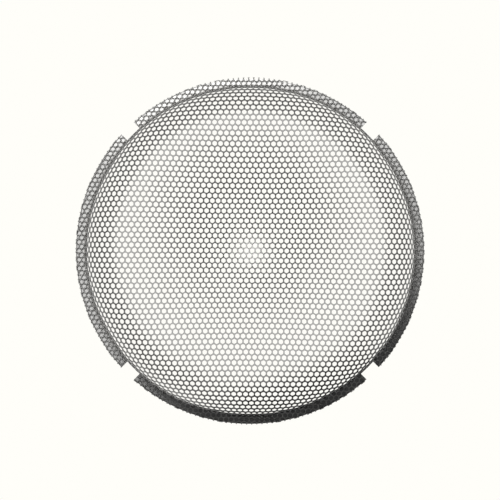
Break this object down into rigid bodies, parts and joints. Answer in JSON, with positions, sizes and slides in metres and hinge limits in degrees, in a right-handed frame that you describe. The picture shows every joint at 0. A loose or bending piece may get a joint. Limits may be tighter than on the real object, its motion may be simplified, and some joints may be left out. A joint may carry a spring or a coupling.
{
  "type": "domed burner screen",
  "caption": "Shallow domed screen of hexagon-perforated steel with a flange of four tabs, carried on a flat solid mouth ring.",
  "frame": {"origin": "on the dome's axis, at the underside of the mouth ring, which the part rests on", "axes": "+Z along the dome's axis from the open mouth towards the crown; the four notches lie on the diagonals between X and Y"},
  "size_m": [0.1692, 0.1692, 0.0327],
  "materials": {
    "perforated_steel": "bright satin mill finish, drawn and slightly dulled, with heat tint over one side of the rim",
    "ring_steel": "matt, pale, tumbled sheet, darkened by heat at its bore and over one side"
  },
  "bodies": {
    "root": {"dome_screen": "perforated_steel", "mouth_ring": "ring_steel"}
  },
  "joints": []
}
